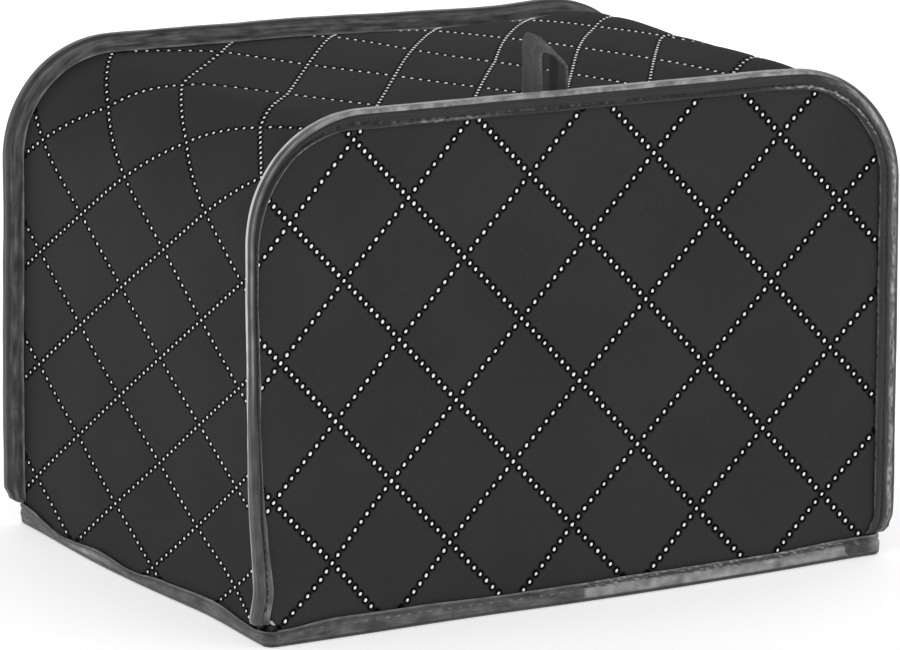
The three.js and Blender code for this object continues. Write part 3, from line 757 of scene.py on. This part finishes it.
def flange_tape(name, facing, material):
    """Satin tape folded over a flange, round the whole arch"""
    first, last = foot["start"], arch["length"] - foot["start"]
    columns = flange_columns["front" if facing > 0 else "back"]
    rows = channel_rows(26, 4, 8, 10) if facing > 0 else channel_rows(12, 4, 6, 16)
    bm, uv = strip_grid(columns, len(rows) - 1, "tape")
    tone = bm.verts.layers.float.new("tone")
    spread = {}
    for vert in bm.verts:
        column, row = round(vert.co.x), round(vert.co.y)
        along = first + (last - first) * column / columns
        stretch, share = rows[row]
        reach = flange_reach(along, facing) + 0.3 * wave(along / 30, 0, 5 * facing)
        leg = between(front_leg, along) if facing > 0 else tape["leg"]
        low = reach - leg + 0.3 * wave(along / 16, 7, facing)
        if facing < 0:
            low = max(0.0, low)
        lift = (0.4 if facing > 0 else 0.15) + 0.12 * wave(along / 22, 9, facing)
        depth, out = channel_point(stretch, share, low, reach, lift, layers["all"])
        shade = 0.05
        if stretch == "outer" and facing > 0:
            relief, shade = front_leg_look(along, reach - out, leg)
            depth -= relief * smooth(share * 6) * smooth((1 - share) * 5)
        elif stretch == "outer":
            depth -= 0.2 * wave(along / 16, out / 1.7) + 0.3 * bump(share - 0.5, 0.4)
        elif stretch == "inner":
            depth += 0.25 * wave(along / 13, out / 1.6, 17) + 0.15 * wave(along / 4, out / 2, 6)
            depth += 0.25 * bump(share - 0.4, 0.4)
            # The added line near the inner leg's free edge is a painted highlight
            shade = 0.17 * (1 + 0.8 * wave(along / 9, out / 1.6, 3)) + 0.3 * bump(share - 0.93, 0.1)
        elif facing > 0:
            # Painted light on the fold: a painted highlight across the web on the top and on its back half
            # on the left, painted shade on its front half on the left, and a painted highlight line on the
            # first arc
            left = arch_zones(along)[0]
            from_back = 0.8 - 0.35 * rise(along, 85, 35)
            back_half = 1.0 if stretch == "second" else 0.0
            if stretch == "web":
                back_half = smooth((share - from_back) / 0.15)
            light = between(front_web_painted_light, along)
            low_web = 0.09 * (1 - rise(along, 70, 40)) + 0.02
            shade = light * (left * back_half + (1 - left)) + left * (1 - back_half) * low_web
            uneven = 0.85 + 0.3 * wave(along / 7, depth / 0.8, 21)
            shade *= uneven + 0.5 * (1 - left) * wave(along / 2.2, depth / 0.9)
            if stretch == "first":
                shade += 0.35 * left * rise(along, 80, 30) * bump(share - 0.5, 0.35)
            out += 0.12 * wave(along / 12, depth / 1.3, 11)
        else:
            out += 0.12 * wave(along / 12, depth / 1.3, 13)
        x, z = arch_point(along, out)
        vert.co = settle(x, front_face + depth if facing > 0 else back_face - depth, z)
        vert[tone] = shade
        spread[vert] = (along, row * 0.5)
    lay_uv(bm, uv, spread)
    if facing < 0:
        bmesh.ops.reverse_faces(bm, faces=bm.faces[:])
    return finished(name, bm, material, tape["thick"], -1.0)


def hem_look(round_it, down):
    """Relief and tone of the hem tape's outer leg. Down counts from its free edge, 0, to its fold, 1."""
    front = 1 - rise(round_it, 276, 6) if round_it < 600 else rise(round_it, 1006, 8)
    left = rise(round_it, 780, 10) * (1 - front)
    relief = 0.3 * bump(down - 0.14, 0.16) - 0.35 * bump(down - 0.33, 0.07) + 0.3 * bump(down - 0.62, 0.3)
    relief += 0.16 * wave(round_it / 9, down * 3, 2) + 0.12 * wave(round_it / 3, down * 5, 9)
    tone = 0.115 * front * (1 - 0.6 * rise(round_it, 262, 2)) + 0.10 * left + 0.07 * (1 - front - left)
    tone *= 1 + 0.8 * wave(round_it / 12, down * 2.5, 5) + 0.6 * wave(round_it / 3.5, down * 6, 14)
    # A painted highlight along the upper edge, with painted shade in a line below it
    tone += bump(down, 0.11) * (0.2 + 0.15 * wave(round_it / 5, 1))
    tone -= bump(down - 0.2, 0.07) * (0.07 * front + 0.1 * left)
    tone += 0.3 * left * bump(round_it - 855, 34) * bump(down - 0.55, 0.4)
    tone += 0.06 * front * bump(down - 0.97, 0.1)
    # The lighter satin stretch on the right of the front, under a darker stitched ridge
    start, end = 133.5 + 2.4 * down, 261 + 3 * down
    inside = smooth((round_it - start) / 0.8) * smooth((end - round_it) / 0.8)
    ragged = 0.34 + 0.09 * wave(round_it / 2.1, 3) + 0.06 * wave(round_it / 0.9, 6)
    satin_part = smooth((down - ragged) / 0.05) * smooth((0.97 - down) / 0.05)
    bright = (0.42 - 0.02 * (round_it - 134) / 128) * (1 + 0.45 * wave(round_it / 3.2, down * 1.5, 7))
    tone += inside * (satin_part * (bright - tone) + (1 - satin_part) * (0.05 - tone) * 0.7)
    speckle = smooth(4 * wave(round_it / 1.4, down * 9, 11) - 0.6)
    tone += inside * (1 - satin_part) * 0.4 * speckle * (down < 0.5)
    tone += inside * 0.16 * bump(down - 0.02, 0.08)
    relief += inside * satin_part * 0.12
    # The short dark stretch beside it, with its light blots, and a painted highlight on the rounded corner
    # at its end
    beside = rise(round_it, 264, 2) * front
    tone += beside * 0.2 * smooth(3 * wave(round_it / 2.6, down * 3, 19) - 0.2) * bump(down - 0.35, 0.3)
    tone += 0.2 * bump(round_it - 278, 4.5)
    return relief, max(0.0, tone)


def hem_tape(name, material):
    """Satin tape folded over the bottom edge of all four walls"""
    places, whole = hem_line(hem_step)
    rows = channel_rows(16, 3, 3, 8)
    bm, uv = strip_grid(len(places), len(rows) - 1, "tape")
    tone = bm.verts.layers.float.new("tone")
    spread = {}
    for vert in bm.verts:
        column, row = round(vert.co.x), round(vert.co.y)
        spot, out_way, round_it = places[column % len(places)]
        stretch, share = rows[row]
        height = between(hem_heights, round_it)
        # The section is the flange's, lying with its fold down
        depth, down = channel_point(stretch, share, -height, 0.0, -hem["inside"], 2 * hem["far"])
        offset = hem["far"] - depth
        shade = 0.045
        if stretch == "outer":
            relief, shade = hem_look(round_it, share)
            offset += relief * smooth(share * 8)
        vert.co = settle(spot.x + out_way.x * offset, spot.y + out_way.y * offset, -down)
        vert[tone] = shade
        spread[vert] = (round_it if column < len(places) else whole, row * 0.5)
    lay_uv(bm, uv, spread)
    bmesh.ops.remove_doubles(bm, verts=bm.verts[:], dist=0.005)
    bmesh.ops.reverse_faces(bm, faces=bm.faces[:])
    return finished(name, bm, material, tape["thick"], -1.0)


def seam_stitches(name, material, places_at, seam):
    """A row of stitches through a tape, at places of (centre, way along, way out, share of the size)"""
    chance = random.Random(seam["seed"])
    bm = bmesh.new()
    for centre, long_way, out_way, share in places_at(seam["step"]):
        tilt = out_way.cross(long_way).normalized() * math.tan(math.radians(chance.uniform(-14, 14)))
        grow = share * chance.uniform(0.85, 1.15)
        knot(bm, centre, (long_way + tilt).normalized(), out_way, [s * grow for s in seam["sizes"]])
    return finished(name, bm, material)


def flange_seam(step):
    """Places of the seam's stitches along the front binding"""
    run = foot["start"] + 6
    while run < arch["length"] - foot["start"] - 4:
        ends = []
        for along in (run, run + step * 0.4):
            out = flange_reach(along, 1) - between(front_seam, along) - 0.25 * wave(along / 9, 3)
            x, z = arch_point(along, out)
            ends.append(settle(x, front_face - 0.02, z))
        long_way = (ends[1] - ends[0]).normalized()
        out_way = (Vector((0, -1, 0)) + long_way * long_way.y).normalized()
        yield ends[0], long_way, out_way, 1.0
        run += step


def hem_seam(step):
    """Places of the seam's stitches round the hem"""
    places, _ = hem_line(step)
    for spot, out_way, round_it in places:
        height = between(hem_heights, round_it)
        offset = hem["far"] - 0.12
        up = height * 0.66 + 0.2 * wave(round_it / 3, 8)
        centre = settle(spot.x + out_way.x * offset, spot.y + out_way.y * offset, up)
        long_way = Vector((-out_way.y, out_way.x, 0))
        share = 1.0 if 40 < round_it < 128 else 0.72
        yield centre, long_way, Vector((out_way.x, out_way.y, 0)), share


def loop_tape(name, material):
    """A fuzzy woven tape standing on the top, folded to a point over its left leg"""
    half = loop["legs_apart"] / 2
    peak = loop["tall"] - loop["thick"] / 2
    eave = peak - 6.5
    bends = [(-half, 0), (-half, peak - 2.6), (-half + 1.1, peak), (0.4, peak - 2.2), (half - 1.2, eave),
             (half, eave - 2.5), (half, 0)]
    lengths = [0.0]
    for k in range(1, len(bends)):
        lengths.append(lengths[-1] + math.dist(bends[k], bends[k - 1]))
    columns, rows = 56, 14
    bm, uv = strip_grid(columns, rows, "tape")
    tone = bm.verts.layers.float.new("tone")
    middle = arch["length"] / 2 + loop["x"]
    spread = {}
    for vert in bm.verts:
        column, row = round(vert.co.x), round(vert.co.y)
        run = lengths[-1] * column / columns
        x = between_straight(lengths, [b[0] for b in bends], run)
        up = between_straight(lengths, [b[1] for b in bends], run)
        share = row / rows - 0.5
        behind = loop["behind_front"] + share * loop["width"] * (1 - 0.1 * smooth(up / peak))
        base_x, base_z = arch_point(middle + x, gusset_swell(middle + x, behind) + 0.45 + 0.6)
        ground = settle(base_x, front_face + behind, base_z)
        sway = 0.45 * wave(run / 6, share * 3, 2) * smooth(up / 6)
        droop = loop["droop"] * (0.5 - share) * smooth(up / peak) + 0.25 * wave(run / 4, share * 4, 5)
        vert.co = ground + Vector((sway, 0.3 * sway, up - droop * smooth(up / 6)))
        # Painted light: the left leg up to the point is lit lighter and the rest painted in shade, with
        # painted highlights along both edges and lighter lines down the tape
        shade = 0.26 if run < lengths[2] else 0.1 + 0.45 * bump(share + 0.2, 0.12)
        vert[tone] = shade + 0.6 * bump(abs(share) - 0.5, 0.1) + 0.25 * bump(share + 0.15, 0.08)
        spread[vert] = (run, row * loop["width"] / rows)
    lay_uv(bm, uv, spread)
    piece = finished(name, bm, material, loop["thick"])
    smoother = piece.modifiers.new("soft_folds", "SUBSURF")
    smoother.levels = smoother.render_levels = 1
    return piece


# Where stitches show
def along_arch(x, z):
    """Distance along the arch of the point of it nearest to a place on a panel"""
    side, half = arch["side"], arch["half_top"]
    if z < side:
        along = z
    elif abs(x) > half:
        along = side + arch["radius"] * math.atan2(z - side, abs(x) - half)
    else:
        along = side + arch["bend"] + half - abs(x)
    return arch["length"] - along if x > 0 else along


def hem_height_under(x, y_facing):
    """Height of the hem tape under a point of a panel, by its place along the front or back"""
    front_run = cover["width"] / 2 - flange["reach"] - cloth["thick"] / 2 - hem["corner"] + x
    return between(hem_heights, front_run if y_facing > 0 else hem_starts["back"] + front_run)


def panel_shows(facing):
    """A test of whether a stitch of a panel lies clear of the tapes"""
    def shows(a, b):
        along = along_arch(a, b)
        leg = between(front_leg, along) if facing > 0 else tape["leg"]
        limit = flange_reach(along, facing) - leg + 0.1
        if min(along, arch["length"] - along) < foot["start"]:
            limit = -foot["inset"] - 0.9
        return outside_arch(a, b) < limit and b > hem_height_under(a, facing) + 0.2
    return shows


def gusset_shows(a, b):
    """Whether a stitch of the gusset lies clear of the tapes and the loop's feet"""
    inside = min(b, cover["depth"] - b) > layers["all"] + 0.2
    under_loop = abs(b - loop["behind_front"]) < loop["width"] / 2 + 0.6
    leg = abs(abs(a - arch["length"] / 2 - loop["x"]) - loop["legs_apart"] / 2) < 1.6
    left_hem = between(hem_heights, hem_starts["left_side"] - b)
    right_hem = between(hem_heights, hem_starts["right_side"] + b)
    above_hem = a > left_hem + 0.2 and arch["length"] - a > right_hem + 0.2
    return inside and above_hem and not (under_loop and leg)


def gusset_stitch(p, q):
    return gusset_row(p - q)[6:]


# Pieces
quilted = quilted_material()
satin = satin_material("dark_grey_satin_tape", "131314", "c4c4c6")
woven = woven_material()
white_thread = thread_material("white_polyester_thread", "f8f8f6")
grey_thread = thread_material("grey_polyester_thread", "7c7c7c")
black_thread = thread_material("black_polyester_thread", "2c2c2c")

front_cloth = panel_cloth("front_cloth", 1, quilted)
back_cloth = panel_cloth("back_cloth", -1, quilted)
gusset_piece = gusset_cloth("gusset_cloth", quilted)

for cloth_name, facing in (("front", 1), ("back", -1)):
    stitched(
        cloth_name + "_stitches", white_thread, stitch_rows(panel_lines["p"], panel_lines["q"]),
        panel_place, lambda a, b, p, q, lift, facing=facing: panel_surface(a, b, p, q, facing, lift),
        panel_shows(facing), lambda p, q: bead["panel_sizes"], tilt=bead["panel_tilt"], seed=5 + facing)
stitched(
    "gusset_stitches", white_thread, stitch_rows(gusset_lines["p"], gusset_lines["q"]), gusset_place,
    gusset_surface, gusset_shows, gusset_stitch, tilt=bead["gusset_tilt"], seed=11)

front_tape = flange_tape("front_tape", 1, satin)
back_tape = flange_tape("back_tape", -1, satin)
front_seam_piece = seam_stitches("front_seam", black_thread, flange_seam, seams["front"])
hem_piece = hem_tape("hem_tape", satin)
hem_seam_piece = seam_stitches("hem_seam", grey_thread, hem_seam, seams["hem"])
loop_piece = loop_tape("loop_tape", woven)

for piece, node, slot in (
    (front_cloth, "front_panel", "quilted_cloth"), (back_cloth, "back_panel", "quilted_cloth"),
    (gusset_piece, "gusset", "quilted_cloth"), (front_tape, "front_binding", "satin_tape"),
    (back_tape, "back_binding", "satin_tape"), (hem_piece, "hem_binding", "satin_tape"),
    (loop_piece, "top_loop", "woven_tape"),
):
    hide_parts(node)

# Floor, light and camera
floor_material, _, floor_shader = new_material("pale_floor", roughness=0.8, specular=0.2)
floor_shader.inputs["Base Color"].default_value = paint("fafafa")
floor_shader.inputs["Emission Color"].default_value = paint("ffffff")
floor_shader.inputs["Emission Strength"].default_value = 0.4
bm = bmesh.new()
bmesh.ops.create_grid(bm, x_segments=1, y_segments=1, size=12.0)
floor_mesh = bpy.data.meshes.new("floor")
bm.to_mesh(floor_mesh)
bm.free()
floor_mesh.materials.append(floor_material)
floor = bpy.data.objects.new("floor", floor_mesh)
bpy.context.scene.collection.objects.link(floor)

world = bpy.data.worlds.new("studio")
world.use_nodes = True
world.node_tree.nodes["Background"].inputs["Color"].default_value = (1, 1, 1, 1)
# The light comes from the sides more than from overhead
sky = {"low": 0.25, "high": 0.85, "sides": 1.3, "overhead": 0.6}
sky_place = add_node(world.node_tree, "ShaderNodeTexCoord")
sky_split = add_node(world.node_tree, "ShaderNodeSeparateXYZ", {0: sky_place.outputs["Generated"]})
sky_strength = eased(world.node_tree, sky_split.outputs[2], sky["low"], sky["high"], sky["sides"],
                     sky["overhead"])
world.node_tree.links.new(sky_strength, world.node_tree.nodes["Background"].inputs["Strength"])
bpy.context.scene.world = world
bpy.context.scene.view_settings.view_transform = "Standard"


def softbox(name, place, aim, size, power):
    lamp = bpy.data.lights.new(name, "AREA")
    lamp.shape = "RECTANGLE"
    lamp.size, lamp.size_y = size
    lamp.energy = power
    lamp_object = bpy.data.objects.new(name, lamp)
    lamp_object.location = place
    lamp_object.rotation_euler = (Vector(aim) - Vector(place)).to_track_quat("-Z", "Y").to_euler()
    bpy.context.scene.collection.objects.link(lamp_object)


softbox("left_light", place=(-1.3, 0.1, 0.45), aim=(0, 0, 0.12), size=(0.5, 0.9), power=0.15)
softbox("top_light", place=(0.45, 0.25, 1.3), aim=(0, 0, 0.15), size=(1.0, 0.7), power=0.1)

# The camera stands where the photograph's vanishing lines put it
right = Vector((0.87491, -0.48428, -0.00188))
down = Vector((-0.10144, -0.17947, -0.97852))
forward = Vector((0.47354, 0.85631, -0.20615))
camera_place = Vector((-1035.4, -1869.5, 542.8)) * MM
lens = bpy.data.cameras.new("camera")
lens.sensor_width = 36
lens.lens = 208
lens.clip_end = 60
camera = bpy.data.objects.new("camera", lens)
turned = Matrix((right, -down, -forward)).transposed().to_4x4()
turned.translation = camera_place
camera.matrix_world = turned
bpy.context.scene.collection.objects.link(camera)
bpy.context.scene.camera = camera
